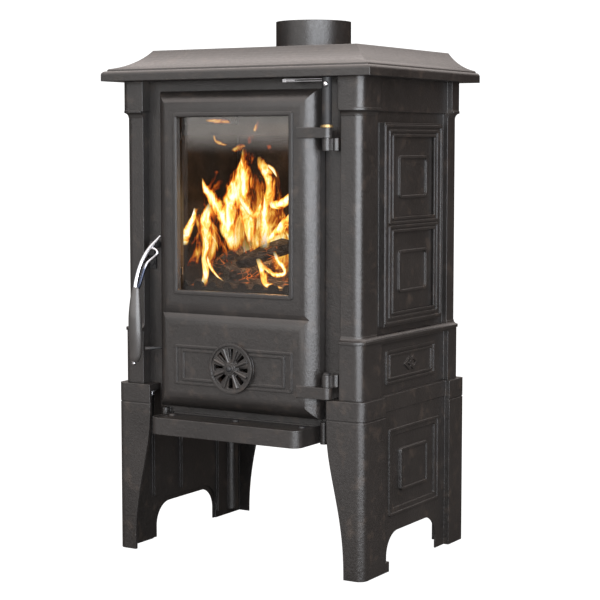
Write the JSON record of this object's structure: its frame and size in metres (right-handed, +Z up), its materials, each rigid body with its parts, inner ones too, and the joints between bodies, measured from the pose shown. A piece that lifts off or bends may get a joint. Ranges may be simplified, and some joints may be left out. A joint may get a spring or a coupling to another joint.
{
  "type": "wood burning stove",
  "caption": "Free-standing cast-iron wood stove on arched leg frames, with a hinged glazed door, air wheel, hanging side handle, coved top plate and flue spigot",
  "frame": {"origin": "on the floor, below the middle of the whole stove's bounding box", "axes": "+Z up, -Y the front with the door, +X the stove's hinge side as seen from the front on the right"},
  "size_m": [0.503, 0.4104, 0.8803],
  "materials": {
    "cast_iron": "matt graphite-black cast iron",
    "firebox_iron": "raw cast iron, sooted",
    "steel": "plain steel fixings",
    "dark_steel": "black painted steel",
    "bright_metal": "polished bright metal",
    "firebrick": "sooted firebrick",
    "sheet_steel": "galvanised sheet",
    "brass": "machined brass",
    "glass": "clear ceramic stove glass",
    "rope": "woven glass-fibre rope",
    "grip": "black moulded heat-proof grip"
  },
  "bodies": {
    "stove_body": {"leg_frame_left": "cast_iron", "leg_frame_right": "cast_iron", "base_plate": "cast_iron", "ash_lip": "cast_iron", "side_casting_left": "cast_iron", "side_casting_right": "cast_iron", "front_frame": "cast_iron", "back_plate": "cast_iron", "top_plate": "cast_iron", "flue_collar": "cast_iron", "firebox_floor": "firebox_iron", "grate": "firebox_iron", "floor_posts": "firebox_iron", "log_guard": "firebox_iron", "flue_screws": "steel", "tie_rods": "steel", "tie_rod_nuts": "steel", "hinge_pin_upper": "steel", "closing_spring": "steel", "spring_arm": "steel", "ash_pan_bail": "steel", "lip_screws": "dark_steel", "keeper_screws": "dark_steel", "hinge_pin_lower": "dark_steel", "latch_keeper": "dark_steel", "hinge_sleeve": "dark_steel", "sleeve_screw": "bright_metal", "firebrick_left": "firebrick", "firebrick_right": "firebrick", "firebrick_rear": "firebrick", "baffle_plate": "firebrick", "ash_pan": "sheet_steel", "hinge_washer": "brass"},
    "door": {"door_casting": "cast_iron", "window_glass": "glass", "glass_gasket": "rope", "glass_clips": "steel", "glass_clip_screws": "steel", "door_rope": "rope", "handle_rest": "dark_steel", "wheel_bolt": "dark_steel", "wheel_spring_washer": "steel", "wheel_nut": "steel"},
    "handle": {"handle_arm": "bright_metal", "handle_grip": "grip", "grip_tip": "bright_metal", "latch_shaft": "dark_steel", "latch_tongue": "dark_steel", "latch_nut": "steel"},
    "air_wheel": {"air_wheel": "cast_iron"}
  },
  "joints": [
    {"name": "door_hinge", "type": "hinge", "parent": "stove_body", "child": "door", "pos_m": [0.1692, -0.16525, 0.5], "axis": [0, 0, 1], "range_deg": [0, 115], "stiffness_Nm_per_rad": 0.8, "springref_deg": -17.19},
    {"name": "handle_pivot", "type": "hinge", "parent": "door", "child": "handle", "pos_m": [-0.1575, -0.15725, 0.5115], "axis": [0, 1, 0], "range_deg": [0, 50]},
    {"name": "air_wheel_turn", "type": "hinge", "parent": "door", "child": "air_wheel", "pos_m": [0, -0.17725, 0.319], "axis": [0, 1, 0], "range_deg": [-16.5, 6]}
  ]
}
